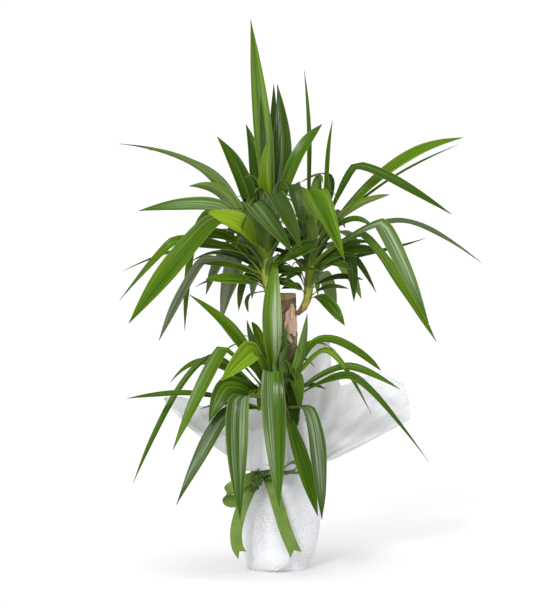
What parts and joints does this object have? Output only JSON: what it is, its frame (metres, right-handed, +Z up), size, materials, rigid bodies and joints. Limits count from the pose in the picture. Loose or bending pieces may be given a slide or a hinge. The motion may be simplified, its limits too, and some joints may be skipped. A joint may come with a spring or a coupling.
{
  "type": "potted yucca plant",
  "caption": "Upright potted yucca with woody canes and arching strap leaves, its pot in a gathered white wrap tied with a green ribbon bow.",
  "frame": {"origin": "centre of the wrap's flat foot, at the height of the surface it stands on", "axes": "+Z up along the canes, -Y towards the side with the ribbon's bow and the low head, +X to the right of it"},
  "size_m": [0.593, 0.364, 0.9031],
  "materials": {
    "leaf": "satin",
    "bark": "matte",
    "soil": "matte",
    "pot": "matte",
    "wrap": "matte",
    "ribbon": "satin"
  },
  "bodies": {
    "root": {"wrap": "wrap", "ribbon": "ribbon", "nursery_pot": "pot", "potting_soil": "soil", "tall_cane": "bark", "short_cane": "bark", "head_left": "leaf", "head_right": "leaf", "head_low": "leaf"}
  },
  "joints": []
}
